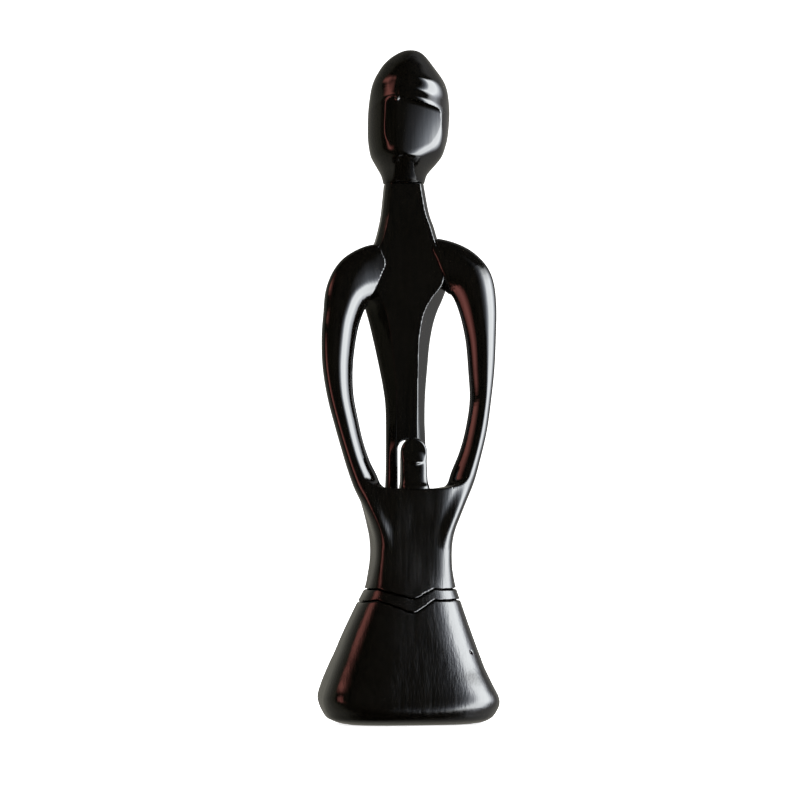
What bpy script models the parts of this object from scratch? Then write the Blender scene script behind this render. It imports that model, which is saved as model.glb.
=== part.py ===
"""A carved mother-and-child figure in black lacquered wood, made as an assembly held together with dowels.

Metres, +Z up. The figure faces -Y and its origin is the middle of the base's flat underside.
Lengths below are written in millimetres and turned into metres by MM where meshes are made.
"""

import math

import bmesh
import bpy
from mathutils import Vector

MM = 0.001

# Driving dimensions
FIGURE_HEIGHT = 336.7
NECK_TOP = 271.0  # the head sits on the neck here
LAP_HEIGHT = 117.0  # the arms, the column and the child stand on the lap here
BASE_HALF_WIDTH = 45.5
BASE_HALF_DEPTH = 31.0
ARM_SPREAD = 35.9  # from the middle plane to the middle of an arm at its widest
GAP = 0.3  # between pieces that touch

# The two cut lines round the waist: level at the sides, dipping in the middle
UPPER_LINE = 67.2
UPPER_DIP = 4.7
LOWER_LINE = 61.8
LOWER_DIP = 6.3
DIP_REACH = 19.0  # how far from the middle plane each dip starts

# Each shoulder joint is a flat face, leaning in towards the neck
SHOULDER_FACE_POINT = (17.3, 225.0)
SHOULDER_FACE_LEAN = math.radians(7.9)
SHOULDER_FACE_REACH = 26.0  # up and down from its point
INSIDE_SHOULDER = 40.0  # how far in from the face the arm is cut away

# Dowels
NECK_DOWEL_RADIUS = 3.0
SHOULDER_DOWEL_RADIUS = 3.0
WRIST_DOWEL_RADIUS = 2.4
COLUMN_DOWEL_RADIUS = 1.2
CHILD_DOWEL_RADIUS = 2.0
WAIST_DOWEL_RADIUS = 6.0
SOCKET_END_ROOM = 0.6  # how far a socket runs past its dowel's end

SIDES = {"left": -1, "right": 1}  # seen from the front
FAR = 350.0  # larger than the whole figure, for cutters
BLACK_LACQUER = (0.012, 0.011, 0.009)
BARE_HARDWOOD = (0.42, 0.27, 0.14)

# Level sections: height, half width, front, back, squareness of the corners (2 is an ellipse)
HEAD_SECTIONS = [
    (NECK_TOP + GAP, 10.6, 2.5, 19.0, 2.6),
    (276.0, 13.2, -7.0, 20.0, 2.3),
    (281.5, 16.6, -16.5, 21.0, 2.2),
    (288.0, 19.0, -20.0, 21.5, 2.1),
    (303.0, 20.5, -21.5, 21.5, 2.1),
    (312.0, 20.0, -21.5, 19.0, 2.1),
    (321.0, 17.2, -18.5, 14.5, 2.0),
    (329.0, 12.4, -13.5, 8.0, 2.0),
    (334.0, 7.4, -9.0, 3.0, 2.0),
    (FIGURE_HEIGHT, 2.0, -4.5, -1.0, 2.0),
]
TORSO_SECTIONS = [
    (LAP_HEIGHT + GAP, 9.8, 2.4, 14.8, 2.6),
    (140.0, 9.8, 2.4, 14.8, 2.6),
    (160.0, 9.8, 2.2, 15.0, 2.8),
    (176.0, 11.8, 1.8, 15.4, 3.0),
    (192.0, 14.3, 1.0, 16.0, 3.0),
    (206.0, 17.8, 0.4, 17.0, 3.2),
    (216.0, 19.2, 0.0, 17.4, 3.2),
    (230.0, 17.0, 0.0, 17.6, 3.2),
    (244.0, 14.7, 0.4, 18.0, 3.2),
    (258.0, 12.0, 1.6, 18.6, 3.2),
    (NECK_TOP, 10.6, 2.5, 19.0, 3.0),
]
LOWER_BODY_SECTIONS = [
    (0.0, BASE_HALF_WIDTH - 13.0, 13.0 - BASE_HALF_DEPTH, BASE_HALF_DEPTH - 13.0, 2.8),
    (1.6, BASE_HALF_WIDTH - 7.6, 7.6 - BASE_HALF_DEPTH, BASE_HALF_DEPTH - 7.6, 2.8),
    (5.0, BASE_HALF_WIDTH - 3.0, 3.0 - BASE_HALF_DEPTH, BASE_HALF_DEPTH - 3.0, 2.8),
    (11.7, BASE_HALF_WIDTH, -BASE_HALF_DEPTH, BASE_HALF_DEPTH, 2.8),
    (19.0, 43.2, -29.6, 29.6, 2.8),
    (40.0, 34.5, -24.6, 24.0, 2.7),
    (60.0, 26.3, -20.2, 18.6, 2.5),
    (72.0, 22.2, -18.8, 16.0, 2.3),
    (86.0, 20.4, -18.8, 14.8, 2.2),
    (97.0, 21.6, -20.6, 15.0, 2.3),
    (107.0, 25.2, -22.4, 15.6, 2.4),
    (LAP_HEIGHT, 29.6, -23.6, 16.2, 2.4),
]
# The arm's middle line from inside the shoulder to inside the lap: x, y, z, half width, half depth
ARM_STATIONS = [
    (8.0, 7.5, 228.0, 12.5, 9.0),
    (18.0, 6.0, 227.6, 12.6, 9.4),
    (28.0, 3.0, 221.0, 12.0, 9.6),
    (33.4, 0.0, 208.0, 10.2, 9.4),
    (ARM_SPREAD - 0.4, -2.0, 191.0, 8.4, 9.0),
    (ARM_SPREAD, -4.0, 176.0, 7.1, 8.4),
    (ARM_SPREAD - 1.3, -5.6, 162.0, 6.0, 8.0),
    (32.0, -6.8, 149.0, 5.7, 7.8),
    (28.8, -7.2, 137.0, 5.7, 8.2),
    (25.6, -6.6, 127.0, 6.0, 9.2),
    (22.8, -5.2, 117.0, 6.8, 11.0),
    (20.6, -4.2, 110.0, 7.2, 12.0),
]
# The child seen from the front: half width and height above the lap, up to where its round top starts
CHILD_SIDE = [(7.0, GAP), (5.8, 3.5), (5.7, 11.0), (6.2, 18.5)]
CHILD_HEIGHT = 25.0
CHILD_FRONT = -22.0
CHILD_DEPTH = 10.5
# The column stands on two legs, either side of an arch that runs through from front to back
ARCH_HALF_WIDTH = 5.1
ARCH_HEIGHT = 24.5


def clear_scene():
    for obj in list(bpy.data.objects):
        bpy.data.objects.remove(obj)


def new_collection(name, hidden=False):
    collection = bpy.data.collections.new(name)
    bpy.context.scene.collection.children.link(collection)
    collection.hide_render = hidden
    return collection


def finish_material(name, colour, roughness):
    material = bpy.data.materials.new(name)
    material.use_nodes = True
    shader = material.node_tree.nodes["Principled BSDF"]
    shader.inputs["Base Color"].default_value = (*colour, 1)
    shader.inputs["Roughness"].default_value = roughness
    shader.inputs["Metallic"].default_value = 0
    return material


def black_lacquer(name):
    return finish_material(name + "_lacquer", BLACK_LACQUER, 0.12)


def through_points(rows, steps):
    """Rows of numbers along a smooth curve that passes through the given rows."""
    smooth = []
    for i in range(len(rows) - 1):
        before, start = rows[max(i - 1, 0)], rows[i]
        end, after = rows[i + 1], rows[min(i + 2, len(rows) - 1)]
        for step in range(steps):
            t = step / steps
            smooth.append([
                start[k]
                + 0.5 * t * (end[k] - before[k])
                + t * t * (before[k] - 2.5 * start[k] + 2 * end[k] - 0.5 * after[k])
                + t * t * t * (1.5 * (start[k] - end[k]) + 0.5 * (after[k] - before[k]))
                for k in range(len(start))
            ])
    return smooth + [list(rows[-1])]


def oval(half_across, half_deep, squareness, sides):
    """Points round an ellipse whose corners fill out as squareness rises above 2."""
    points = []
    for i in range(sides):
        turn = 2 * math.pi * (i + 0.5) / sides
        c, s = math.cos(turn), math.sin(turn)
        points.append((
            half_across * math.copysign(abs(c) ** (2 / squareness), c),
            half_deep * math.copysign(abs(s) ** (2 / squareness), s),
        ))
    return points


def skin_rings(name, rings):
    """A closed mesh through rings of points, in millimetres, with flat ends."""
    bm = bmesh.new()
    loops = [[bm.verts.new(point * MM) for point in ring] for ring in rings]
    sides = len(rings[0])
    for low, high in zip(loops, loops[1:]):
        for i in range(sides):
            j = (i + 1) % sides
            bm.faces.new((low[i], low[j], high[j], high[i]))
    bm.faces.new(list(reversed(loops[0])))
    bm.faces.new(loops[-1])
    if bm.calc_volume(signed=True) < 0:
        bmesh.ops.reverse_faces(bm, faces=bm.faces)
    mesh = bpy.data.meshes.new(name)
    bm.to_mesh(mesh)
    bm.free()
    return mesh


def level_loft(name, sections, sides, steps):
    """A closed mesh through level sections, each an oval between its front and its back."""
    rings = []
    for height, half_width, front, back, squareness in through_points(sections, steps):
        middle, half_depth = (front + back) / 2, (back - front) / 2
        ring = oval(half_width, half_depth, squareness, sides)
        rings.append([Vector((x, middle + y, height)) for x, y in ring])
    return skin_rings(name, rings)


def swept_loft(name, stations, sides, steps):
    """A closed mesh of ovals square to a bending middle line."""
    rows = through_points(stations, steps)
    places = [Vector(row[:3]) for row in rows]
    rings = []
    for i, (place, row) in enumerate(zip(places, rows)):
        along = (places[min(i + 1, len(rows) - 1)] - places[max(i - 1, 0)]).normalized()
        across = along.cross(Vector((0, 1, 0))).normalized()
        deep = across.cross(along)
        ring = oval(row[3], row[4], 2.3, sides)
        rings.append([place + across * x + deep * y for x, y in ring])
    return skin_rings(name, rings)


def extruded_outline(name, outline, front, depth):
    """A closed mesh of an outline in the XZ plane, carried from front to back along Y."""
    near = [Vector((x, front, z)) for x, z in outline]
    far = [Vector((x, front + depth, z)) for x, z in outline]
    return skin_rings(name, [near, far])


def arch_outline(side, top):
    """A round-topped outline standing on the lap, from its right side's points, low to high, and its top."""
    half, spring = side[-1]
    arc = []
    for step in range(1, 12):
        turn = math.pi * step / 12
        arc.append((half * math.cos(turn), spring + (top - spring) * math.sin(turn)))
    left = [(-x, z) for x, z in reversed(side)]
    return raised(side + arc + left, LAP_HEIGHT)


def add_object(mesh, collection, material=None):
    obj = bpy.data.objects.new(mesh.name, mesh)
    collection.objects.link(obj)
    if material:
        mesh.materials.append(material)
        mesh.shade_smooth()
        mesh.set_sharp_from_angle(angle=math.radians(35))
    return obj


def add_cutter(mesh, collection):
    cutter = add_object(mesh, collection)
    cutter.display_type = "WIRE"
    cutter.hide_render = True
    return cutter


def boolean(obj, cutter, operation):
    modifier = obj.modifiers.new(cutter.name, "BOOLEAN")
    modifier.operation = operation
    modifier.solver = "EXACT"
    modifier.object = cutter


def cylinder_mesh(name, radius, length, sides):
    bm = bmesh.new()
    bmesh.ops.create_cone(
        bm, cap_ends=True, segments=sides, radius1=radius * MM, radius2=radius * MM, depth=length * MM
    )
    mesh = bpy.data.meshes.new(name)
    bm.to_mesh(mesh)
    bm.free()
    return mesh


def cut_line(level, dip):
    """Points across a waist line, level at the sides with a dip to a V in the middle."""
    points = [(-FAR, level)]
    for step in range(-4, 5):
        share = abs(step) / 4
        points.append((DIP_REACH * step / 4, level - dip * (1 - share) ** 1.2))
    points.append((FAR, level))
    return points


def raised(line, height):
    return [(x, z + height) for x, z in line]


def make_head(parts, cutters):
    """An egg leaning forward, with a flat face between an overhanging brow and a chin edge."""
    head = add_object(level_loft("head", HEAD_SECTIONS, 28, 2), parts, black_lacquer("head"))
    brow = [(-FAR, 308.5), (0, 312.5), (FAR, 308.5)]
    chin = [(-FAR, 300.0), (-14, 285.5), (0, 283.0), (14, 285.5), (FAR, 300.0)]
    face_depth = 4.5
    front = min(section[2] for section in HEAD_SECTIONS)
    outline = brow + list(reversed(chin))
    face = extruded_outline("face_cut", outline, front + face_depth - FAR, FAR)
    boolean(head, add_cutter(face, cutters), "DIFFERENCE")
    return head


def make_torso(parts, cutters):
    """Neck, chest plate and back column, trimmed flat at the shoulders and with an arch through its foot."""
    torso = add_object(level_loft("torso", TORSO_SECTIONS, 24, 2), parts, black_lacquer("torso"))
    for name, side in SIDES.items():
        outside = shoulder_block("outside_" + name + "_shoulder", side, FAR, cutters)
        boolean(torso, outside, "DIFFERENCE")
    arch_side = [(ARCH_HALF_WIDTH, -FAR), (ARCH_HALF_WIDTH, ARCH_HEIGHT - ARCH_HALF_WIDTH)]
    arch = extruded_outline("column_arch", arch_outline(arch_side, ARCH_HEIGHT), -FAR, 2 * FAR)
    boolean(torso, add_cutter(arch, cutters), "DIFFERENCE")
    return torso


def shoulder_block(name, side, reach, cutters):
    """A block that ends at a shoulder joint's face: outside it when reach is positive, inside when negative."""
    x, z = SHOULDER_FACE_POINT
    out = Vector((side * math.cos(SHOULDER_FACE_LEAN), math.sin(SHOULDER_FACE_LEAN)))
    up = Vector((-side * math.sin(SHOULDER_FACE_LEAN), math.cos(SHOULDER_FACE_LEAN))) * SHOULDER_FACE_REACH
    near = Vector((side * x, z)) - out * math.copysign(GAP / 2, reach)
    far = near + out * reach
    corners = [tuple(corner) for corner in (near + up, far + up, far - up, near - up)]
    return add_cutter(extruded_outline(name, corners, -FAR, 2 * FAR), cutters)


def make_arm(name, side, parts, cutters):
    """One arm: shoulder, upper arm and forearm in a single sweep that lands on the lap."""
    stations = [(side * x, y, z, across, deep) for x, y, z, across, deep in ARM_STATIONS]
    arm = add_object(swept_loft(name, stations, 18, 2), parts, black_lacquer(name))
    inside = shoulder_block("inside_" + name, side, -INSIDE_SHOULDER, cutters)
    boolean(arm, inside, "DIFFERENCE")
    landing = LAP_HEIGHT + GAP
    above = [(-FAR, landing), (FAR, landing), (FAR, landing + 2 * FAR), (-FAR, landing + 2 * FAR)]
    above_lap = add_cutter(extruded_outline(name + "_above_lap", above, -FAR, 2 * FAR), cutters)
    boolean(arm, above_lap, "INTERSECT")
    return arm


def make_child(parts):
    """An arch-shaped figure: straight sides and a round top, with its edges eased."""
    outline = arch_outline(CHILD_SIDE, CHILD_HEIGHT)
    mesh = extruded_outline("child", outline, CHILD_FRONT, CHILD_DEPTH)
    child = add_object(mesh, parts, black_lacquer("child"))
    eased = child.modifiers.new("Eased edges", "BEVEL")
    eased.width = 1.2 * MM
    eased.segments = 2
    eased.limit_method = "ANGLE"
    eased.angle_limit = math.radians(50)
    return child


def make_lower_body(parts, cutters):
    """Hips, waistband and skirt: one flared form parted along the two waist lines."""
    upper, lower = cut_line(UPPER_LINE, UPPER_DIP), cut_line(LOWER_LINE, LOWER_DIP)
    above = [(FAR, 2 * FAR), (-FAR, 2 * FAR)]
    below = [(FAR, -FAR), (-FAR, -FAR)]
    bands = {
        "hips": raised(upper, GAP / 2) + above,
        "waistband": raised(upper, -GAP / 2) + list(reversed(raised(lower, GAP / 2))),
        "skirt": raised(lower, -GAP / 2) + below,
    }
    pieces = []
    for name, outline in bands.items():
        mesh = level_loft(name, LOWER_BODY_SECTIONS, 32, 2)
        piece = add_object(mesh, parts, black_lacquer(name))
        band = extruded_outline(name + "_band", outline, -FAR, 2 * FAR)
        boolean(piece, add_cutter(band, cutters), "INTERSECT")
        pieces.append(piece)
    return pieces


def make_dowel(name, middle, direction, length, radius, sockets, parts, cutters):
    """A round peg, and its socket in each piece that it joins."""
    hardwood = finish_material(name + "_hardwood", BARE_HARDWOOD, 0.6)
    turn = Vector((0, 0, 1)).rotation_difference(Vector(direction))
    dowel = add_object(cylinder_mesh(name, radius, length, 16), parts, hardwood)
    socket_mesh = cylinder_mesh(name + "_socket", radius + GAP, length + 2 * SOCKET_END_ROOM, 16)
    socket = add_cutter(socket_mesh, cutters)
    for obj in (dowel, socket):
        obj.location = Vector(middle) * MM
        obj.rotation_mode = "QUATERNION"
        obj.rotation_quaternion = turn
    for piece in sockets:
        boolean(piece, socket, "DIFFERENCE")


def make_figure():
    parts = new_collection("carved_ancestor_figure")
    cutters = new_collection("cutters", hidden=True)
    head = make_head(parts, cutters)
    torso = make_torso(parts, cutters)
    arms = {name: make_arm(name + "_arm", side, parts, cutters) for name, side in SIDES.items()}
    child = make_child(parts)
    hips, waistband, skirt = make_lower_body(parts, cutters)

    upright = (0, 0, 1)
    neck_middle = (0, 10.8, NECK_TOP)
    make_dowel("neck_dowel", neck_middle, upright, 18, NECK_DOWEL_RADIUS, (head, torso), parts, cutters)
    for name, side in SIDES.items():
        arm = arms[name]
        shoulder = (side * SHOULDER_FACE_POINT[0], 7.5, SHOULDER_FACE_POINT[1])
        outwards = (side * math.cos(SHOULDER_FACE_LEAN), 0, math.sin(SHOULDER_FACE_LEAN))
        make_dowel(
            name + "_shoulder_dowel", shoulder, outwards, 15, SHOULDER_DOWEL_RADIUS, (torso, arm), parts, cutters
        )
        wrist = (side * 23.0, -5.2, LAP_HEIGHT)
        along_wrist = Vector((side * 0.3, 0, 1)).normalized()
        make_dowel(name + "_wrist_dowel", wrist, along_wrist, 14, WRIST_DOWEL_RADIUS, (hips, arm), parts, cutters)
        leg_foot = (side * (ARCH_HALF_WIDTH + 2.3), 8.6, LAP_HEIGHT)
        make_dowel(
            name + "_column_dowel", leg_foot, upright, 14, COLUMN_DOWEL_RADIUS, (hips, torso), parts, cutters
        )
    child_foot = (0, CHILD_FRONT + CHILD_DEPTH / 2, LAP_HEIGHT)
    make_dowel("child_dowel", child_foot, upright, 14, CHILD_DOWEL_RADIUS, (hips, child), parts, cutters)
    waist_middle = (0, -1.5, (UPPER_LINE + LOWER_LINE) / 2)
    joined = (hips, waistband, skirt)
    make_dowel("waist_dowel", waist_middle, upright, 44, WAIST_DOWEL_RADIUS, joined, parts, cutters)


clear_scene()
make_figure()
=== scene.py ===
"""The looks of the carved mother-and-child figure: glossy black lacquer over hand-carved wood.

Each carved piece is described by a form: a function that gives, for points in millimetres, how far they lie
outside its surface (negative inside). skin() wraps a fine mesh round a form. The CAD frame gives the places.
"""

import math

import bmesh
import bpy
import numpy as np
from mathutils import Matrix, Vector


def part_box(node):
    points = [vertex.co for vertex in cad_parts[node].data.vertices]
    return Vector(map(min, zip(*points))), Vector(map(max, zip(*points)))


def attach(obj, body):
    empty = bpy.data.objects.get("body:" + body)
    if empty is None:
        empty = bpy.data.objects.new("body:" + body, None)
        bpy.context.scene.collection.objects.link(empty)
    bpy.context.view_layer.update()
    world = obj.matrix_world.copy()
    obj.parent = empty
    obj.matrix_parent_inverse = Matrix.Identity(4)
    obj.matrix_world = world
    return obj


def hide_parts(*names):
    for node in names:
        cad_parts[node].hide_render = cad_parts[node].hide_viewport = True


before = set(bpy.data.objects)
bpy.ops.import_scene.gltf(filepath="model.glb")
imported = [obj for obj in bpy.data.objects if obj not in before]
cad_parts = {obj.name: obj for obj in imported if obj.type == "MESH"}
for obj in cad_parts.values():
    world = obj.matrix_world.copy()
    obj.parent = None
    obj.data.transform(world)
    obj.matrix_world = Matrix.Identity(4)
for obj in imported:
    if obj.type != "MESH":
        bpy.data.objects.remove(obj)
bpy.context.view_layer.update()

MM = 0.001
ROUND = 2.0  # squareness of a plain ellipse


def box_mm(node):
    low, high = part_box(node)
    return np.array(low) / MM, np.array(high) / MM


# Places and driving sizes, in millimetres, from the frame
BASE_HALF_WIDTH = box_mm("skirt")[1][0]
BASE_HALF_DEPTH = box_mm("skirt")[1][1]
LAP = box_mm("hips")[1][2]
NECK_TOP = box_mm("torso")[1][2]
CROWN = box_mm("head")[1][2]
CHILD_TOP = box_mm("child")[1][2]
CHILD_FRONT = box_mm("child")[0][1]
CHILD_BACK = box_mm("child")[1][1]
SEAM = 0.12  # half the hairline between pieces that touch
CELL = 0.8  # size of a mesh face

# The cut lines round the waist: level at the sides, dipping to a V in the middle
UPPER_LINE = box_mm("waistband")[1][2] + 0.15
UPPER_DIP = 4.7
LOWER_LINE = box_mm("skirt")[1][2] + 0.15
LOWER_DIP = 6.3
DIP_MIDDLE = -0.6
DIP_REACH_LEFT = 17.5
DIP_REACH_RIGHT = 10.0
CUT_HALF_WIDTH = 0.3
CUT_HAIRLINE = 0.03  # half the width left where the cut has closed
CUT_OPEN = 0.9  # the depth to which the cut keeps its width
CUT_CLOSED = 1.8  # and the depth from which it is a hairline
CUT_EDGE = 0.6  # how far its edges are eased


# ---------------------------------------------------------------- building blocks for forms


def through_points(rows, steps=10):
    """Rows of numbers along a smooth curve that passes through the given rows."""
    rows = np.array(rows, float)
    padded = np.vstack([rows[:1], rows, rows[-1:]])
    smooth = []
    for i in range(len(rows) - 1):
        before, start, end, after = padded[i : i + 4]
        for t in np.arange(steps) / steps:
            smooth.append(
                start
                + 0.5 * t * (end - before)
                + t**2 * (before - 2.5 * start + 2 * end - 0.5 * after)
                + t**3 * (1.5 * (start - end) + 0.5 * (after - before))
            )
    smooth.append(rows[-1])
    return np.array(smooth)


def join(a, b, ease):
    """Two forms as one, with a fillet of about this size where they meet."""
    mix = np.clip(0.5 + 0.5 * (b - a) / ease, 0, 1)
    return b + (a - b) * mix - ease * mix * (1 - mix)


def trim(a, b, ease):
    """Only what lies inside both forms, with the edge between them eased."""
    return -join(-a, -b, ease)


def carve(a, b, ease):
    """The first form with the second cut out of it."""
    return trim(a, -b, ease)


def oval_distance(x, y, half_x, half_y, squareness):
    """How far a point lies outside an ellipse whose corners fill out as squareness rises above 2."""
    u, v = np.abs(x) / half_x + 1e-6, np.abs(y) / half_y + 1e-6
    reach = (u**squareness + v**squareness) ** (1 / squareness)
    slope_x = (u / reach) ** (squareness - 1) / half_x
    slope_y = (v / reach) ** (squareness - 1) / half_y
    return (reach - 1) / np.hypot(slope_x, slope_y)


def level_form(stations):
    """A form whose level sections are ovals.

    Each station is a height, middle x, half width, front y, back y and squareness. Squares of the half
    sizes are what run smoothly from station to station, so that an end can close in a round tip.
    """
    rows = np.array(stations, float)
    height, middle_x, half_width, front, back, squareness = rows.T
    sizes = np.column_stack([
        height, middle_x, half_width**2, (front + back) / 2, ((back - front) / 2) ** 2, squareness
    ])
    table = through_points(sizes)

    def form(p):
        mid_x, wide, mid_y, deep, square = (np.interp(p[:, 2], table[:, 0], column) for column in table.T[1:])
        half_x, half_y = np.sqrt(np.maximum(wide, 0.01)), np.sqrt(np.maximum(deep, 0.01))
        return oval_distance(p[:, 0] - mid_x, p[:, 1] - mid_y, half_x, half_y, square)

    return form


# An arm's section: the facets cut on its oval, as the way each faces (degrees from straight ahead, towards
# the outside) and how far out it lies as a share of the oval's half width and half depth
ARM_FACETS = [(-43, 0.92), (101, 0.96), (-112, 0.94)]
FACET_EASE = 2.6
UNCUT_WIDTH = 1.1  # the oval before its facets are cut, as a share of the finished half width
UNCUT_SQUARENESS = 2.4

# Where a sweep's table keeps the middle line's place and direction, the section's two axes, its half width
# and half depth, and how the direction changes from row to row
PLACE, ALONG, ACROSS, DEEP = slice(0, 3), slice(3, 6), slice(6, 9), slice(9, 12)
HALF_WIDTH, HALF_DEPTH, BEND = 12, 13, slice(14, 17)
SWEEP_SPACING = 2.0  # from row to row, along the middle line
POINTS_AT_ONCE = 20000  # measured against the middle line together, to save memory


def arm_section(u, v, half_across, half_deep):
    """How far a point lies outside the section; u runs to the outside of the arm and v to the back."""
    side = oval_distance(u, v, half_across * UNCUT_WIDTH, half_deep, UNCUT_SQUARENESS)
    for degrees, share in ARM_FACETS:
        out, ahead = math.sin(math.radians(degrees)), math.cos(math.radians(degrees))
        reach = share * np.hypot(out * half_across, ahead * half_deep)
        side = trim(side, u * out - v * ahead - reach, FACET_EASE)
    return side


def between(table, mark):
    """A row of the table at each mark, a row number that may fall between two rows."""
    first = np.minimum(mark.astype(int), len(table) - 2)
    return table[first] + (table[first + 1] - table[first]) * (mark - first)[:, None]


def rows_dot(first, second):
    """The dot product of each row with its partner."""
    return (first * second).sum(1)


def swept_form(stations, outside):
    """An arm swept along a bending middle line; outside is the sign of x on its outer side.

    Each station is x, y, z, half width and half depth.
    """
    table = through_points(stations, steps=24)
    steps = np.linalg.norm(np.diff(table[:, :3], axis=0), axis=1)
    travelled = np.concatenate([[0], np.cumsum(steps)])
    marks = np.arange(0, travelled[-1], SWEEP_SPACING)
    table = np.column_stack([np.interp(marks, travelled, column) for column in table.T])
    places = table[:, :3]
    along = np.gradient(places, axis=0)
    along /= np.linalg.norm(along, axis=1, keepdims=True)
    across = outside * np.cross(along, (0.0, 1.0, 0.0))
    across *= np.sign(across[len(across) // 2, 0]) * outside
    across /= np.linalg.norm(across, axis=1, keepdims=True)
    deep = np.cross(across, along)
    deep *= np.sign(deep[:, 1:2])
    bend = np.gradient(along, axis=0)
    frames = np.column_stack([places, along, across, deep, table[:, 3:5], bend])

    def form(p):
        nearest = np.empty(len(p), int)
        for start in range(0, len(p), POINTS_AT_ONCE):
            chunk = p[start : start + POINTS_AT_ONCE]
            square = (places**2).sum(1)[None] - 2 * chunk @ places.T
            nearest[start : start + POINTS_AT_ONCE] = square.argmin(1)
        mark = nearest.astype(float)
        # a few steps of Newton's method find the section that each point lies in
        for _ in range(3):
            here = between(frames, mark)
            offset = p - here[:, PLACE]
            pace = np.maximum(SWEEP_SPACING - rows_dot(offset, here[:, BEND]), 0.4 * SWEEP_SPACING)
            step = np.clip(rows_dot(offset, here[:, ALONG]) / pace, -1, 1)
            mark = np.clip(mark + step, 0, len(frames) - 1)
        here = between(frames, mark)
        offset = p - here[:, PLACE]
        side = arm_section(
            rows_dot(offset, here[:, ACROSS]),
            rows_dot(offset, here[:, DEEP]),
            here[:, HALF_WIDTH],
            here[:, HALF_DEPTH],
        )
        at_end = (mark == 0) | (mark == len(frames) - 1)
        past_end = np.abs(rows_dot(offset, here[:, ALONG])) * at_end
        return np.hypot(np.maximum(side, 0), past_end) + np.minimum(side, 0)

    return form


def bump(value, middle, reach):
    """A smooth hill of height 1 at the middle, which dies away over a reach or two on either side."""
    return np.exp(-(((value - middle) / reach) ** 2))


def cut_line(x, level, dip):
    """The height of a waist line across the figure, with the wobble of a hand-held gouge."""
    reach = np.where(x < DIP_MIDDLE, DIP_REACH_LEFT, DIP_REACH_RIGHT)
    share = np.clip(1 - np.abs(x - DIP_MIDDLE) / reach, 0, 1)
    wobble = 0.12 * np.sin(0.43 * x + level) + 0.08 * np.sin(1.13 * x + 2 * level)
    left_droop = 1.8 * bump(x, -27, 4.5)
    return level - dip * (1.15 * share - 0.15 * share**4) + wobble - left_droop


# ---------------------------------------------------------------- the carved forms

HEAD_STATIONS = [
    (NECK_TOP - 3, -0.3, 10.2, 2.4, 19.4, 2.6),
    (NECK_TOP + 1, -0.5, 10.5, 0.4, 19.8, 2.5),
    (275.75, -0.9, 11.8, -6.0, 20.2, 2.3),
    (279.75, -0.8, 14.9, -13.4, 21.0, 2.2),
    (283.75, -0.75, 17.7, -18.2, 21.4, 2.1),
    (287.75, -0.6, 19.0, -20.2, 21.6, 2.05),
    (293.75, -0.3, 20.1, -21.4, 21.6, ROUND),
    (303.75, 0.1, 20.5, -21.8, 21.4, ROUND),
    (311.75, 0.15, 20.0, -21.8, 19.4, ROUND),
    (319.75, -0.2, 18.3, -20.2, 15.6, ROUND),
    (327.75, -0.8, 13.6, -15.9, 10.0, ROUND),
    (331.75, -0.6, 10.4, -12.8, 6.6, ROUND),
    (335.25, 0.2, 6.2, -9.4, 2.6, ROUND),
    (CROWN + 0.3, 0.5, 0.6, -4.4, -3.3, ROUND),
]
egg = level_form(HEAD_STATIONS)
NOTCH = -9.0  # where the two brows meet, and where the faint ridge of the face runs down
BROW_TOP = 311.5
CHIN_X = -6.0
CHIN = 281.2  # the lowest point of the face's lower edge, at CHIN_X
CHIN_RISE = 6.0  # as far as the jaw follows that edge upwards
FACE_FRONT = -18.3


def brow_height(x):
    """Two arcs that meet at the notch."""
    from_notch = x - NOTCH
    left = np.clip(-from_notch, 0, None)
    right = np.clip(from_notch, 0, None)
    arcs = 0.046 * left**2 + 0.285 * (np.hypot(right, 2) - 2)
    return BROW_TOP - arcs - 0.8 * bump(from_notch, 0, 0.9)


def chin_height(x):
    """The lower edge of the face: low on the left and sweeping up to the right."""
    from_chin = x - CHIN_X
    right = np.clip(from_chin, 0, None)
    left = np.clip(-from_chin, 0, None)
    return CHIN + 0.0052 * right**2.65 + 0.002 * left**2.6


def face_front(x, z):
    """How far forward the face lies: two sides of a ridge, of which the right one turns away slowly."""
    from_ridge = x - NOTCH
    left = (0.56 + 0.06 * np.clip(289 - z, 0, 7)) * np.clip(-from_ridge, 0, None)
    right = (0.0047 + 0.00016 * (300 - z)) * np.clip(from_ridge, 0, None) ** 2
    return FACE_FRONT + left + right - 0.03 * (z - 298)


def head_form(p):
    x, y, z = p.T
    # the forehead swells in two lobes, tucks in above the brow, and the brow stands out as a thin ridge
    above_brow = z - brow_height(x)
    front = np.clip(-y / 20, 0, 1) ** 2
    lobes = 1 - 0.55 * bump(x, NOTCH, 2.2) - 0.7 * np.clip((NOTCH - x) / 4, 0, 1)
    swell = 0.7 * bump(above_brow, 12.5, 4.0) * lobes
    tuck = 1.15 * bump(above_brow, 6.8, 3.2) * np.clip(lobes + 0.1, 0.4, 1)
    ridge = 0.35 * bump(above_brow, 1.1, 1.7)
    solid = egg(p) - front * (swell - tuck + ridge)
    # the flattened face, whose edge is crisp but for the lower right
    face_y = face_front(x, z)
    in_front = trim(y - face_y, above_brow, 2.2)
    edge = 0.15 + 2.0 * np.clip((x - CHIN_X) / 16, 0, 1) * np.clip((298 - z) / 9, 0, 1)
    solid = carve(solid, in_front, edge)
    # the jaw runs back from the chin to the neck
    chin = CHIN + CHIN_RISE * (1 - np.exp((CHIN - chin_height(x)) / CHIN_RISE))
    jaw = 0.8 * (chin - z) - 0.6 * (y - face_y)
    solid = trim(solid, jaw, 3.4)
    solid = trim(solid, z - CROWN, 0.3)
    return trim(solid, NECK_TOP + SEAM - z, 0.5)


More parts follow.
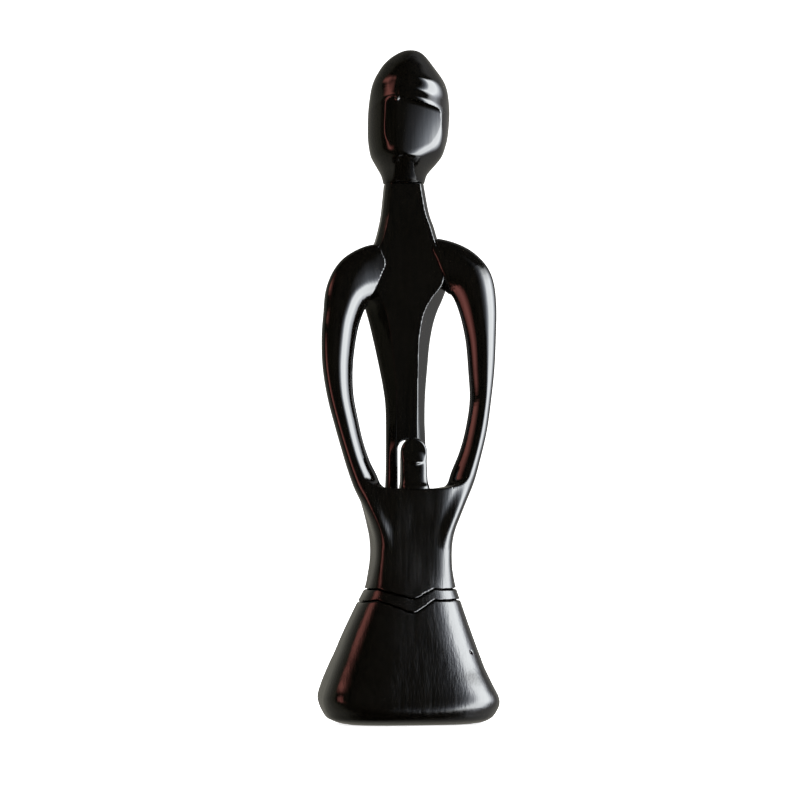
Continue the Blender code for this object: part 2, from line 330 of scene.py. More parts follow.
# The torso's level sections: height, middle x, half width, front, back, and the width of its front chamfers
TORSO_STATIONS = [
    (LAP - 4, 0.2, 11.4, 1.6, 15.2, 4.9),
    (LAP + 6, 0.2, 10.8, 2.2, 14.8, 4.9),
    (142.0, 0.2, 10.6, 2.4, 14.8, 5.0),
    (158.0, 0.1, 10.7, 2.3, 15.2, 5.3),
    (168.0, -0.2, 11.6, 2.1, 15.8, 6.0),
    (178.0, -0.6, 13.1, 1.7, 16.6, 7.0),
    (190.0, -1.2, 15.1, 1.1, 17.6, 8.2),
    (200.0, -1.4, 17.3, 0.6, 18.4, 9.0),
    (207.0, -1.3, 19.4, 0.2, 18.8, 9.2),
    (213.0, -1.1, 21.2, -0.6, 19.0, 7.8),
    (219.0, -0.9, 21.8, -1.3, 19.2, 4.2),
    (226.0, -0.7, 20.9, -1.8, 19.2, 2.2),
    (233.0, -0.4, 19.2, -1.7, 19.2, 2.2),
    (241.0, 0.1, 16.4, -0.8, 19.2, 3.0),
    (249.0, 0.2, 14.2, 0.5, 19.2, 3.1),
    (257.0, -0.3, 12.2, 1.4, 19.2, 3.1),
    (NECK_TOP + 3, -0.8, 9.8, 2.6, 19.4, 2.9),
]
torso_table = through_points(TORSO_STATIONS)
ARCH_HALF_WIDTH = 4.8
ARCH_TOP = LAP + 24.5


def torso_form(p):
    x, y, z = p.T
    middle, half, front, back, chamfer = (
        np.interp(z, torso_table[:, 0], column) for column in torso_table.T[1:]
    )
    x = x - middle
    flat = trim(np.abs(x) - half, front - y, 0.8)
    # the front chamfers face further outwards, and their edges get crisper, from the foot upwards
    turn = np.radians(np.interp(z, (132, 150), (40, 53)))
    slope = (np.abs(x) - (half - chamfer)) * np.sin(turn) + (front - y) * np.cos(turn)
    solid = trim(flat, slope, np.interp(z, (150, 170), (0.9, 0.2)))
    rounded = oval_distance(x, y - front, half, back - front, 4.5)
    solid = trim(solid, rounded, 2.0)
    # the arch through the foot, where the child stands
    spring = ARCH_TOP - ARCH_HALF_WIDTH
    arch = np.hypot(x + middle, np.maximum(z - spring, 0)) - ARCH_HALF_WIDTH
    solid = carve(solid, arch, 0.8)
    solid = trim(solid, z - (NECK_TOP - SEAM), 0.5)
    return trim(solid, LAP + SEAM - z, 0.4)


# Each arm from inside the shoulder to where its ridge dies away on the hip
RIGHT_ARM_STATIONS = [
    (4.0, 6.2, 229.4, 13.6, 9.2),
    (12.0, 5.8, 229.9, 13.6, 9.2),
    (19.9, 5.2, 228.9, 13.0, 9.3),
    (27.0, 3.9, 225.4, 12.6, 9.3),
    (32.1, 2.0, 219.4, 11.6, 9.2),
    (34.8, -0.5, 207.9, 9.8, 8.9),
    (36.1, -2.2, 192.4, 7.8, 8.5),
    (36.2, -3.4, 175.8, 6.6, 8.1),
    (35.4, -5.0, 161.0, 5.4, 7.8),
    (32.7, -8.0, 146.4, 5.35, 7.8),
    (29.2, -9.6, 133.9, 5.4, 8.8),
    (24.8, -10.2, 121.4, 6.0, 9.8),
    (20.6, -11.2, 109.5, 4.8, 9.4),
    (16.6, -10.2, 99.0, 3.8, 9.4),
    (13.2, -8.8, 89.0, 2.6, 8.2),
]
LEFT_ARM_STATIONS = [
    (-4.0, 4.9, 224.6, 14.4, 9.2),
    (-12.0, 4.7, 225.4, 14.6, 9.2),
    (-18.2, 4.2, 224.4, 14.6, 9.3),
    (-25.6, 3.0, 220.4, 13.8, 9.3),
    (-30.9, 1.6, 213.4, 11.8, 9.2),
    (-33.9, 0.0, 202.9, 9.9, 8.9),
    (-35.8, -2.0, 191.8, 9.0, 8.5),
    (-36.5, -3.2, 177.8, 7.95, 8.2),
    (-35.4, -4.6, 163.2, 6.85, 8.0),
    (-32.6, -7.6, 148.5, 6.25, 7.8),
    (-30.2, -9.2, 138.1, 5.9, 8.3),
    (-27.1, -9.9, 128.0, 6.0, 9.1),
    (-23.3, -10.2, 118.8, 6.4, 9.8),
    (-19.9, -11.2, 109.0, 4.8, 9.6),
    (-15.8, -10.4, 99.0, 3.6, 9.8),
    (-12.4, -8.8, 89.0, 2.4, 8.6),
]
# Where each shoulder ends in a crease against the chest: height and distance from the middle
RIGHT_CREASE = through_points(
    [(150, 0), (196, 14), (208, 20.6), (216, 18.6), (224, 16.2), (232, 13.4), (238, 10.6), (246, 9)]
)
LEFT_CREASE = through_points(
    [(150, 0), (196, 14), (208, 20.6), (216, 17.6), (224, 14.2), (230, 12.2), (236, 14.2), (246, 16)]
)
RIGHT_CREASE_EASE = 3.6
LEFT_CREASE_EASE = 0.2
right_arm = swept_form(RIGHT_ARM_STATIONS, 1)
left_arm = swept_form(LEFT_ARM_STATIONS, -1)

# The lower body's level sections, from under the base to above the lap, in the order that level_form wants
LOWER_STATIONS = [
    (-3.0, 0.6, BASE_HALF_WIDTH - 22.0, 19.0 - BASE_HALF_DEPTH, BASE_HALF_DEPTH - 19.0, 2.9),
    (0.0, 0.6, BASE_HALF_WIDTH - 13.5, 14.0 - BASE_HALF_DEPTH, BASE_HALF_DEPTH - 14.0, 2.9),
    (0.8, 0.8, BASE_HALF_WIDTH - 9.4, 10.5 - BASE_HALF_DEPTH, BASE_HALF_DEPTH - 10.5, 2.9),
    (2.75, 0.4, BASE_HALF_WIDTH - 4.8, 5.4 - BASE_HALF_DEPTH, BASE_HALF_DEPTH - 5.4, 2.9),
    (5.75, 0.4, BASE_HALF_WIDTH - 2.4, 2.4 - BASE_HALF_DEPTH, BASE_HALF_DEPTH - 2.4, 2.9),
    (9.75, 0.2, BASE_HALF_WIDTH - 1.1, 0.3 - BASE_HALF_DEPTH, BASE_HALF_DEPTH - 0.3, 3.4),
    (13.75, -0.4, BASE_HALF_WIDTH - 1.4, -BASE_HALF_DEPTH, BASE_HALF_DEPTH, 4.0),
    (19.75, -1.1, 41.6, -29.8, 29.4, 4.1),
    (27.75, -1.4, 38.2, -27.5, 27.2, 4.0),
    (35.75, -1.1, 35.0, -25.6, 25.0, 3.8),
    (43.75, -0.9, 32.0, -23.8, 22.8, 3.6),
    (51.75, -0.5, 28.8, -22.3, 20.6, 3.5),
    (59.75, 0.0, 25.5, -21.1, 18.6, 3.5),
    (67.75, 0.6, 22.1, -20.0, 16.8, 3.6),
    (75.75, 0.6, 20.1, -18.8, 15.4, 4.8),
    (83.75, 0.8, 19.2, -18.8, 14.8, 5.4),
    (91.75, 0.85, 19.6, -19.2, 14.6, 5.4),
    (98.0, 0.8, 20.8, -19.9, 14.6, 5.2),
    (106.0, 1.0, 23.2, -21.4, 15.2, 4.4),
    (LAP + 3, 0.8, 27.0, -23.4, 16.2, 4.2),
]
lower_body = level_form(LOWER_STATIONS)


def cut_gap(body):
    """Half the width of a waist cut: a groove near the surface, closing to a hairline further in."""
    share = np.clip((body + CUT_CLOSED) / (CUT_CLOSED - CUT_OPEN), 0, 1)
    return CUT_HAIRLINE + (CUT_HALF_WIDTH - CUT_HAIRLINE) * share


def arms_and_hips_form(p):
    """The loop of both arms, the lap and the waist, in one flowing form."""
    x, y, z = p.T
    lap_top = z - LAP - 0.010 * np.clip(np.abs(x) - 9, 0, None) ** 2
    hips = trim(lower_body(p), lap_top, 1.2)
    # the lap is scooped at the front between the two ridges that run down from the arms
    scoop = 0.4 * bump(x, 0, 11) * bump(z, 104, 9) * np.clip(-y / 18, 0, 1)
    hips = hips + scoop
    arms = np.empty(len(p))
    sides = (
        (left_arm, x < 0, LEFT_CREASE, LEFT_CREASE_EASE),
        (right_arm, x >= 0, RIGHT_CREASE, RIGHT_CREASE_EASE),
    )
    for arm, chosen, crease, ease in sides:
        inner = np.interp(z[chosen], crease[:, 0], crease[:, 1])
        arms[chosen] = trim(arm(p[chosen]), inner - np.abs(x[chosen]), ease)
    body = join(hips, arms, 3.6)
    body = carve(body, torso_form(p) - 2 * SEAM, 0.5)
    return trim(body, cut_line(x, UPPER_LINE, UPPER_DIP) + cut_gap(body) - z, CUT_EDGE)


def waistband_form(p):
    x, _, z = p.T
    band = lower_body(p)
    gap = cut_gap(band)
    band = trim(band, z + gap - cut_line(x, UPPER_LINE, UPPER_DIP), CUT_EDGE)
    return trim(band, cut_line(x, LOWER_LINE, LOWER_DIP) + gap - z, CUT_EDGE)


SKIRT_PIT = np.array([27.6, -21.4, 36.0])  # a small blemish in the finish
SKIRT_PIT_RADIUS = 0.8


def skirt_form(p):
    x, _, z = p.T
    skirt = lower_body(p)
    skirt = trim(skirt, z + cut_gap(skirt) - cut_line(x, LOWER_LINE, LOWER_DIP), CUT_EDGE)
    pit = np.linalg.norm(p - SKIRT_PIT, axis=1) - SKIRT_PIT_RADIUS
    return trim(carve(skirt, pit, 0.4), -z, 0.6)


CHILD_STATIONS = [
    (LAP - 3, -0.2, 7.6, CHILD_FRONT - 2.2, CHILD_BACK, 3.4),
    (LAP + 0.5, -0.2, 7.3, CHILD_FRONT - 1.6, CHILD_BACK, 3.6),
    (LAP + 3, -0.3, 6.7, CHILD_FRONT - 0.4, CHILD_BACK, 4.2),
    (LAP + 7, -0.3, 6.5, CHILD_FRONT + 0.8, CHILD_BACK, 4.6),
    (LAP + 12, -0.3, 6.4, CHILD_FRONT + 1.6, CHILD_BACK, 4.6),
    (LAP + 16, -0.3, 6.3, CHILD_FRONT + 2.2, CHILD_BACK, 3.6),
    (LAP + 20, -0.3, 5.2, CHILD_FRONT + 3.4, CHILD_BACK - 1, 2.4),
]
child_body = level_form(CHILD_STATIONS)
CHILD_HEAD_RADIUS = 6.7
CHILD_HEAD_HALF_HEIGHT = 7.5
CHILD_SINK = 0.4  # so that no light shows under its foot


def child_form(p):
    """A flared post with a round head that overhangs it a little. Its foot is sunk into the lap."""
    _, y, z = p.T
    middle_y = (CHILD_FRONT + CHILD_BACK) / 2
    centre = np.array([-0.3, middle_y, CHILD_TOP - 7.4])
    stretch = np.array([1, 1, CHILD_HEAD_HALF_HEIGHT / CHILD_HEAD_RADIUS])
    head = (np.linalg.norm((p - centre) / stretch, axis=1) - CHILD_HEAD_RADIUS) * 1.02
    chin_cut = trim(centre[2] - 4.4 - z, y - (CHILD_FRONT + 2.6), 0.6)
    head = carve(head, chin_cut, 0.8)
    body = trim(child_body(p), z - (LAP + 18), 1.0)
    child = join(body, head, 0.8)
    return trim(child, LAP - CHILD_SINK - z, 0.4)


# ---------------------------------------------------------------- turning a form into a mesh


def surface_slope(form, points, reach=0.05):
    """The form's value and its slope at each point."""
    value = form(points)
    slope = np.column_stack([form(points + step) - value for step in reach * np.eye(3)]) / reach
    return value, slope


def settle(form, points, longest):
    """Each point moved straight onto the form's surface, by no more than the longest step."""
    value, slope = surface_slope(form, points)
    move = -value[:, None] * slope / np.maximum((slope**2).sum(1), 1e-6)[:, None]
    length = np.linalg.norm(move, axis=1, keepdims=True)
    return points + move * np.minimum(1, longest / np.maximum(length, 1e-9))


def wrap_cells(inside):
    """Quads round the filled grid points, as rows of four cell numbers, facing out."""
    quads = []
    for axis in range(3):
        here = np.take(inside, np.arange(inside.shape[axis] - 1), axis)
        ahead = np.take(inside, np.arange(1, inside.shape[axis]), axis)
        crossing = np.argwhere(here != ahead)
        u, v = (axis + 1) % 3, (axis + 2) % 3
        corners = []
        for du, dv in ((-1, -1), (0, -1), (0, 0), (-1, 0)):
            corner = crossing.copy()
            corner[:, u] += du
            corner[:, v] += dv
            corners.append(np.ravel_multi_index(corner.T, inside.shape))
        quad = np.stack(corners, axis=1)
        facing_back = ~here[tuple(crossing.T)]
        quad[facing_back] = quad[facing_back][:, ::-1]
        quads.append(quad)
    return np.concatenate(quads)


def even_out(points, edges):
    """Each point moved half-way to the middle of its neighbours."""
    ends, others = np.concatenate([edges, edges[:, ::-1]]).T
    count = np.bincount(ends, minlength=len(points))[:, None]
    total = np.column_stack([np.bincount(ends, points[others, axis], len(points)) for axis in range(3)])
    return 0.5 * points + 0.5 * total / count


def filled(form, axes, block=5):
    """Which points of a grid lie inside a form, looking closely only at the blocks near its surface."""
    shape = tuple(len(axis) for axis in axes)
    cell = axes[0][1] - axes[0][0]
    first = np.stack(np.meshgrid(*[np.arange(0, size, block) for size in shape], indexing="ij"), axis=-1)
    origin = np.array([axis[0] for axis in axes])
    middles = origin + (first + (block - 1) / 2) * cell
    far = form(middles.reshape(-1, 3)).reshape(first.shape[:3])
    inside = far < 0
    for axis in range(3):
        inside = np.repeat(inside, block, axis)
    inside = inside[: shape[0], : shape[1], : shape[2]]
    near = first[np.abs(far) < block * cell * 1.4]
    within = np.stack(np.meshgrid(*[np.arange(block)] * 3, indexing="ij"), axis=-1).reshape(-1, 3)
    close = (near[:, None] + within[None]).reshape(-1, 3)
    close = close[(close < shape).all(1)]
    inside[tuple(close.T)] = form(origin + close * cell) < 0
    return inside


def skin(form, low, high, cell=CELL):
    """Points and quads of a fine closed mesh on the surface of a form, within a box."""
    axes = [np.arange(start - 2 * cell, end + 3 * cell, cell) for start, end in zip(low, high)]
    inside = filled(form, axes)
    used, quads = np.unique(wrap_cells(inside), return_inverse=True)
    quads = quads.reshape(-1, 4)
    cells = np.column_stack(np.unravel_index(used, inside.shape))
    points = np.array([axis[0] for axis in axes]) + (cells + 0.5) * cell
    edges = np.unique(np.sort(np.concatenate([quads[:, [i, (i + 1) % 4]] for i in range(4)]), axis=1), axis=0)
    for _ in range(3):
        points = settle(form, even_out(points, edges), cell / 2)
    for _ in range(2):
        points = settle(form, points, cell / 2)
    return points, quads


def piece_object(name, points, faces, form, material, nodes):
    """A shaded object from points in millimetres, whose shading follows the form exactly."""
    mesh = bpy.data.meshes.new(name)
    mesh.from_pydata((points * MM).tolist(), [], [list(map(int, face)) for face in faces])
    mesh.shade_smooth()
    mesh.materials.append(material)
    _, slope = surface_slope(form, points)
    normals = slope / np.maximum(np.linalg.norm(slope, axis=1, keepdims=True), 1e-9)
    corner_points = np.empty(len(mesh.loops), int)
    mesh.loops.foreach_get("vertex_index", corner_points)
    corner_normals = normals[corner_points]
    # a cut leaves faces with more than four corners, over it and beside it, and these are shaded flat
    for polygon in mesh.polygons:
        if polygon.loop_total > 4:
            corner_normals[polygon.loop_start : polygon.loop_start + polygon.loop_total] = polygon.normal
    mesh.normals_split_custom_set(corner_normals.tolist())
    obj = bpy.data.objects.new(name, mesh)
    bpy.context.scene.collection.objects.link(obj)
    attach(obj, "root")
    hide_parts(*nodes)
    return obj


def carved_piece(name, form, node, material, cell=CELL, grow=3.0):
    low, high = box_mm(node)
    points, quads = skin(form, low - grow, high + grow, cell)
    return piece_object(name, points, quads, form, material, [node])


def cut_level(points, faces, height, keep_above):
    """One side of a mesh cut at a height, closed with a flat face over each cut."""
    bm = bmesh.new()
    verts = [bm.verts.new(point) for point in points]
    for face in faces:
        bm.faces.new([verts[i] for i in face])
    bmesh.ops.bisect_plane(
        bm,
        geom=bm.verts[:] + bm.edges[:] + bm.faces[:],
        plane_co=(0, 0, height),
        plane_no=(0, 0, 1),
        clear_inner=keep_above,
        clear_outer=not keep_above,
    )
    rim = [edge for edge in bm.edges if edge.is_boundary]
    bmesh.ops.holes_fill(bm, edges=rim, sides=0)
    bm.verts.index_update()
    cut_points = np.array([vert.co[:] for vert in bm.verts])
    cut_faces = [[vert.index for vert in face.verts] for face in bm.faces]
    bm.free()
    return cut_points, cut_faces


def one_side(points, faces, side):
    """Only the part of a mesh on one side of the middle plane."""
    kept = [face for face in faces if side * sum(points[i][0] for i in face) > 0]
    used = sorted({i for face in kept for i in face})
    place = {old: new for new, old in enumerate(used)}
    return points[used], [[place[i] for i in face] for face in kept]


def make_arms_and_hips(material):
    """The loop of arms and the hips come from one form, so their surfaces run on across the joints."""
    low = np.array([-BASE_HALF_WIDTH, -26.0, UPPER_LINE - UPPER_DIP - 3])
    high = np.array([BASE_HALF_WIDTH, 22.0, 246.0])
    points, quads = skin(arms_and_hips_form, low, high)
    joint = LAP + 0.6
    hips_points, hips_faces = cut_level(points, quads, joint, keep_above=False)
    piece_object(
        "carved_hips", hips_points, hips_faces, arms_and_hips_form, material, ["hips"]
    )
    arm_points, arm_faces = cut_level(points, quads, joint, keep_above=True)
    for name, side in (("left_arm", -1), ("right_arm", 1)):
        side_points, side_faces = one_side(arm_points, arm_faces, side)
        piece_object(
            "carved_" + name, side_points, side_faces, arms_and_hips_form, material, [name]
        )


# ---------------------------------------------------------------- materials


def node(tree, kind, **inputs):
    made = tree.nodes.new(kind)
    for name, value in inputs.items():
        made.inputs[name.replace("_", " ")].default_value = value
    return made


# How rough the lacquer is at each height, as a share of the way from the base to the crown
DULLNESS = [
    (0.0, 0.09),
    (0.13, 0.11),
    (0.17, 0.14),
    (0.24, 0.15),
    (0.33, 0.12),
    (0.38, 0.08),
    (1.0, 0.06),
]
STREAKY_BELOW = 0.085  # metres: the grain shows most up to here,
SMOOTH_ABOVE = 0.13  # and least from here up


def black_lacquer():
    """Near-black lacquer over hand-worked wood, with vertical grain just showing through its gloss.

    It is glossiest on the head and arms, and duller and more streaky round the waist and on the skirt.
    """
    material = bpy.data.materials.new("black_lacquer")
    material.use_nodes = True
    tree = material.node_tree
    link = tree.links.new
    shader = tree.nodes["Principled BSDF"]
    shader.inputs["IOR"].default_value = 1.5

    def remap(value, low, high, to_low, to_high):
        made = tree.nodes.new("ShaderNodeMapRange")
        for name, number in (("From Min", low), ("From Max", high), ("To Min", to_low), ("To Max", to_high)):
            made.inputs[name].default_value = number
        link(value, made.inputs["Value"])
        return made.outputs["Result"]

    def product(first, second):
        made = tree.nodes.new("ShaderNodeMath")
        made.operation = "MULTIPLY"
        link(first, made.inputs[0])
        link(second, made.inputs[1])
        return made.outputs[0]

    place = node(tree, "ShaderNodeTexCoord")
    split = tree.nodes.new("ShaderNodeSeparateXYZ")
    link(place.outputs["Object"], split.inputs["Vector"])
    stretch = node(tree, "ShaderNodeMapping", Scale=(1100, 1100, 30))
    link(place.outputs["Object"], stretch.inputs["Vector"])
    grain = node(tree, "ShaderNodeTexNoise", Scale=1.0, Detail=4.0, Roughness=0.6)
    link(stretch.outputs["Vector"], grain.inputs["Vector"])
    broad = node(tree, "ShaderNodeMapping", Scale=(260, 260, 12))
    link(place.outputs["Object"], broad.inputs["Vector"])
    streaks = node(tree, "ShaderNodeTexNoise", Scale=1.0, Detail=3.0, Roughness=0.5)
    link(broad.outputs["Vector"], streaks.inputs["Vector"])
    cloud = node(tree, "ShaderNodeTexNoise", Scale=45.0, Detail=3.0, Roughness=0.55)
    link(place.outputs["Object"], cloud.inputs["Vector"])

    tint = tree.nodes.new("ShaderNodeValToRGB")
    tint.color_ramp.elements[0].position = 0.35
    tint.color_ramp.elements[0].color = (0.0004, 0.00036, 0.00024, 1)
    tint.color_ramp.elements[1].position = 0.75
    tint.color_ramp.elements[1].color = (0.0019, 0.0015, 0.0010, 1)
    link(grain.outputs["Fac"], tint.inputs["Fac"])
    link(tint.outputs["Color"], shader.inputs["Base Color"])

    dullness = tree.nodes.new("ShaderNodeValToRGB")
    for i, (height, dull) in enumerate(DULLNESS):
        element = dullness.color_ramp.elements[i] if i < 2 else dullness.color_ramp.elements.new(height)
        element.position = height
        element.color = (dull, dull, dull, 1)
    link(remap(split.outputs["Z"], 0, CROWN * MM, 0, 1), dullness.inputs["Fac"])
    patchy = remap(cloud.outputs["Fac"], 0.3, 0.7, 0.75, 1.3)
    streaky = remap(streaks.outputs["Fac"], 0.3, 0.7, 0.7, 1.35)
    link(product(dullness.outputs["Color"], product(patchy, streaky)), shader.inputs["Roughness"])

    ripple = node(tree, "ShaderNodeBump", Distance=0.0002)
    link(remap(split.outputs["Z"], STREAKY_BELOW, SMOOTH_ABOVE, 0.36, 0.05), ripple.inputs["Strength"])
    link(grain.outputs["Fac"], ripple.inputs["Height"])
    dents = node(tree, "ShaderNodeBump", Distance=0.0012)
    link(remap(split.outputs["Z"], STREAKY_BELOW, SMOOTH_ABOVE, 0.085, 0.02), dents.inputs["Strength"])
    link(streaks.outputs["Fac"], dents.inputs["Height"])
    link(ripple.outputs["Normal"], dents.inputs["Normal"])
    link(dents.outputs["Normal"], shader.inputs["Normal"])
    return material


def bare_hardwood():
    """Turned dowel wood with fine lengthwise grain."""
    material = bpy.data.materials.new("dowel_hardwood")
    material.use_nodes = True
    tree = material.node_tree
    link = tree.links.new
    shader = tree.nodes["Principled BSDF"]
    shader.inputs["Roughness"].default_value = 0.6
    place = node(tree, "ShaderNodeTexCoord")
    stretch = node(tree, "ShaderNodeMapping", Scale=(900, 900, 60))
    link(place.outputs["Object"], stretch.inputs["Vector"])
    grain = node(tree, "ShaderNodeTexNoise", Scale=1.0, Detail=5.0)
    link(stretch.outputs["Vector"], grain.inputs["Vector"])
    tint = tree.nodes.new("ShaderNodeValToRGB")
    tint.color_ramp.elements[0].color = (0.26, 0.15, 0.07, 1)
    tint.color_ramp.elements[1].color = (0.52, 0.36, 0.2, 1)
    link(grain.outputs["Fac"], tint.inputs["Fac"])
    link(tint.outputs["Color"], shader.inputs["Base Color"])
    ripple = node(tree, "ShaderNodeBump", Strength=0.2, Distance=0.0001)
    link(grain.outputs["Fac"], ripple.inputs["Height"])
    link(ripple.outputs["Normal"], shader.inputs["Normal"])
    return material


# ---------------------------------------------------------------- stage, lights and camera

VIEW_AZIMUTH = math.radians(-10)  # the camera stands a little to the figure's right-hand side
VIEW_DISTANCE = 1.5
VIEW_HEIGHT = 0.10
VIEW_MIDDLE = 0.1614  # the height at the middle of the picture
VIEW_SIDESTEP = -0.0042
LENS = 134.9


def bearing(degrees_right_of_camera):
    """A level direction from the figure, measured round from the camera towards the right of its view."""
    turn = VIEW_AZIMUTH + math.radians(degrees_right_of_camera)
    return Vector((math.sin(turn), -math.cos(turn), 0))


def make_camera():
    data = bpy.data.cameras.new("camera")
    data.lens = LENS
    data.sensor_width = 36
    camera = bpy.data.objects.new("camera", data)
    bpy.context.scene.collection.objects.link(camera)
    right = Vector((math.cos(VIEW_AZIMUTH), math.sin(VIEW_AZIMUTH), 0))
    camera.location = bearing(0) * VIEW_DISTANCE + right * VIEW_SIDESTEP + Vector((0, 0, VIEW_HEIGHT))
    look_up = math.atan((VIEW_MIDDLE - VIEW_HEIGHT) / VIEW_DISTANCE)
    camera.rotation_euler = (math.pi / 2 + look_up, 0, VIEW_AZIMUTH)
    bpy.context.scene.camera = camera


def make_lights():
    """One broad soft light overhead, which evens out the floor."""
    data = bpy.data.lights.new("overhead", "AREA")
    data.shape = "DISK"
    data.size = 1.6
    data.energy = 20
    light = bpy.data.objects.new("overhead", data)
    bpy.context.scene.collection.objects.link(light)
    light.location = (0, 0, 1.8)
    light.visible_glossy = False


# What the lacquer mirrors: a pale backdrop behind the figure and a dark room in front of it, a warm wall to
# the left with a warm corner above it, and a window to the right. The first table of each gives the colour at
# each bearing from the camera (degrees, to the right), and the second its strength at each height (degrees)
BACKDROP = [
    (-180, (0.30, 0.29, 0.25)),
    (-125, (0.26, 0.255, 0.22)),
    (-94, (0.20, 0.195, 0.15)),
    (-84, (0.02, 0.02, 0.014)),
    (-20, (0.03, 0.028, 0.022)),
    (0, (0.055, 0.05, 0.045)),
    (22, (0.05, 0.05, 0.045)),
    (96, (0.1, 0.1, 0.1)),
    (112, (0.62, 0.62, 0.63)),
    (150, (0.45, 0.44, 0.41)),
    (180, (0.30, 0.29, 0.25)),
]
BACKDROP_HEIGHTS = [
    (-80, 0.0),
    (-58, 0.7),
    (-8, 1.0),
    (14, 1.0),
    (40, 0.6),
    (60, 0.7),
    (85, 0.3),
]
WARM_WALL = [
    (-73, (0, 0, 0)),
    (-68, (1.8, 0.56, 0.46)),
    (-62, (3.4, 1.15, 1.0)),
    (-55, (1.4, 0.42, 0.36)),
    (-47, (0.0, 0.0, 0.0)),
]
WARM_WALL_HEIGHTS = [(-44, 0.0), (-34, 0.4), (-24, 1.0), (4, 1.0), (12, 0.4), (18, 0.0)]
WARM_CORNER = [
    (-94, (0, 0, 0)),
    (-84, (2.2, 0.72, 0.6)),
    (-68, (3.2, 1.1, 0.9)),
    (-54, (1.2, 0.4, 0.34)),
    (-40, (0, 0, 0)),
]
WARM_CORNER_HEIGHTS = [(21, 0.0), (27, 1.0), (33, 0.9), (38, 0.25), (46, 0.0)]
WINDOW = [
    (24, (0, 0, 0)),
    (31, (0.45, 0.48, 0.55)),
    (37, (1.7, 1.85, 2.1)),
    (42, (4.2, 4.5, 5.0)),
    (47, (10, 10.5, 11.0)),
    (52, (17, 17.6, 18)),
    (80, (17, 17.6, 18)),
    (92, (8, 8.4, 9)),
    (104, (2.0, 2.1, 2.3)),
    (114, (0, 0, 0)),
]
WINDOW_HEIGHTS = [(-64, 0.0), (-50, 0.75), (-15, 1.0), (28, 1.0), (42, 0.0)]
MIRRORED = [
    (BACKDROP, BACKDROP_HEIGHTS),
    (WARM_WALL, WARM_WALL_HEIGHTS),
    (WARM_CORNER, WARM_CORNER_HEIGHTS),
    (WINDOW, WINDOW_HEIGHTS),
]
BRIGHTEST = 18.0  # the most that any of the colours comes to
PLAIN_LIGHT = 1.8  # the strength of the white room that everything but the gloss sees


def ramp(tree, stops, low, high, scale):
    """A colour ramp over a range of angles, brought into 0 to 1 by the scale."""
    made = tree.nodes.new("ShaderNodeValToRGB")
    elements = made.color_ramp.elements
    for i, (angle, colour) in enumerate(stops):
        place = (angle - low) / (high - low)
        element = elements[i] if i < 2 else elements.new(place)
        element.position = place
        red, green, blue = colour if isinstance(colour, tuple) else (colour,) * 3
        element.color = (red / scale, green / scale, blue / scale, 1)
    return made


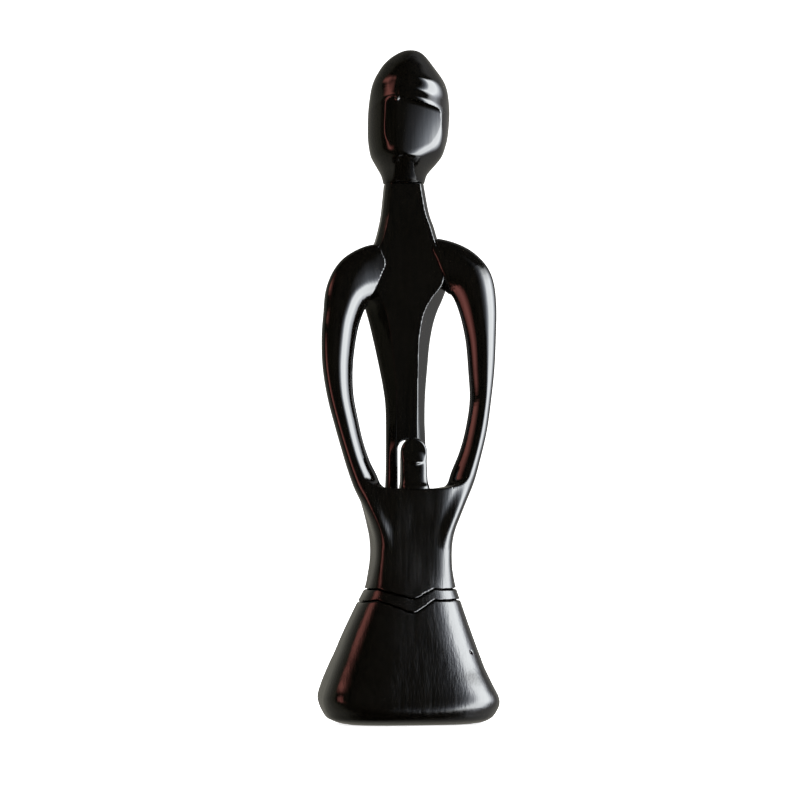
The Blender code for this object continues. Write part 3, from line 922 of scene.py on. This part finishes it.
def make_world():
    """A plain white room for everything but the gloss, which mirrors the backdrop, warm wall and window."""
    world = bpy.data.worlds.new("studio")
    bpy.context.scene.world = world
    world.use_nodes = True
    world.cycles.sampling_method = "NONE"
    tree = world.node_tree
    link = tree.links.new
    output = tree.nodes["World Output"]
    gloss_light = tree.nodes["Background"]
    gloss_light.inputs["Strength"].default_value = BRIGHTEST
    plain_light = node(tree, "ShaderNodeBackground", Color=(1, 1, 1, 1), Strength=PLAIN_LIGHT)

    def maths(operation, first, second, third=None):
        made = tree.nodes.new("ShaderNodeMath")
        made.operation = operation
        for socket, value in zip(made.inputs, (first, second, third)):
            if isinstance(value, (int, float)):
                socket.default_value = value
            elif value is not None:
                link(value, socket)
        return made.outputs[0]

    def along(direction):
        made = tree.nodes.new("ShaderNodeVectorMath")
        made.operation = "DOT_PRODUCT"
        made.inputs[1].default_value = direction
        link(place.outputs["Generated"], made.inputs[0])
        return made.outputs["Value"]

    place = node(tree, "ShaderNodeTexCoord")
    turn = maths("ARCTAN2", along(bearing(90)), along(bearing(0)))
    turn = maths("MULTIPLY_ADD", turn, 0.5 / math.pi, 0.5)
    rise = maths("ARCSINE", along((0, 0, 1)), 0)
    rise = maths("MULTIPLY_ADD", rise, 1 / math.pi, 0.5)
    seen = None
    for colours, heights in MIRRORED:
        round_about = ramp(tree, colours, -180, 180, BRIGHTEST)
        up_and_down = ramp(tree, heights, -90, 90, 1)
        link(turn, round_about.inputs["Fac"])
        link(rise, up_and_down.inputs["Fac"])
        added = tree.nodes.new("ShaderNodeVectorMath")
        added.operation = "MULTIPLY_ADD"
        link(round_about.outputs["Color"], added.inputs[0])
        link(up_and_down.outputs["Color"], added.inputs[1])
        if seen:
            link(seen, added.inputs[2])
        seen = added.outputs["Vector"]
    link(seen, gloss_light.inputs["Color"])

    path = tree.nodes.new("ShaderNodeLightPath")
    choose = tree.nodes.new("ShaderNodeMixShader")
    link(path.outputs["Is Glossy Ray"], choose.inputs["Fac"])
    link(plain_light.outputs["Background"], choose.inputs[1])
    link(gloss_light.outputs["Background"], choose.inputs[2])
    link(choose.outputs["Shader"], output.inputs["Surface"])


def make_floor():
    """A plain pale floor with a little light of its own, left out of the lacquer's reflections."""
    bm = bmesh.new()
    bmesh.ops.create_grid(bm, x_segments=1, y_segments=1, size=6)
    mesh = bpy.data.meshes.new("floor")
    bm.to_mesh(mesh)
    bm.free()
    floor = bpy.data.objects.new("floor", mesh)
    floor.location.z = -0.0002
    bpy.context.scene.collection.objects.link(floor)
    material = bpy.data.materials.new("pale_floor")
    material.use_nodes = True
    shader = material.node_tree.nodes["Principled BSDF"]
    shader.inputs["Base Color"].default_value = (0.93, 0.93, 0.93, 1)
    shader.inputs["Roughness"].default_value = 0.9
    shader.inputs["Specular IOR Level"].default_value = 0.0
    shader.inputs["Emission Color"].default_value = (1, 1, 1, 1)
    shader.inputs["Emission Strength"].default_value = 0.8
    mesh.materials.append(material)
    floor.visible_glossy = False


def make_figure():
    lacquer = black_lacquer()
    hardwood = bare_hardwood()
    carved_piece("carved_head", head_form, "head", lacquer, cell=0.55)
    carved_piece("carved_torso", torso_form, "torso", lacquer, cell=0.55)
    make_arms_and_hips(lacquer)
    carved_piece("carved_waistband", waistband_form, "waistband", lacquer, cell=0.6)
    carved_piece("carved_skirt", skirt_form, "skirt", lacquer)
    carved_piece("carved_child", child_form, "child", lacquer, cell=0.5)
    for name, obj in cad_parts.items():
        if name.endswith("_dowel"):
            obj.data.materials.clear()
            obj.data.materials.append(hardwood)


make_camera()
make_lights()
make_world()
make_floor()
make_figure()
bpy.context.scene.view_settings.view_transform = "Standard"
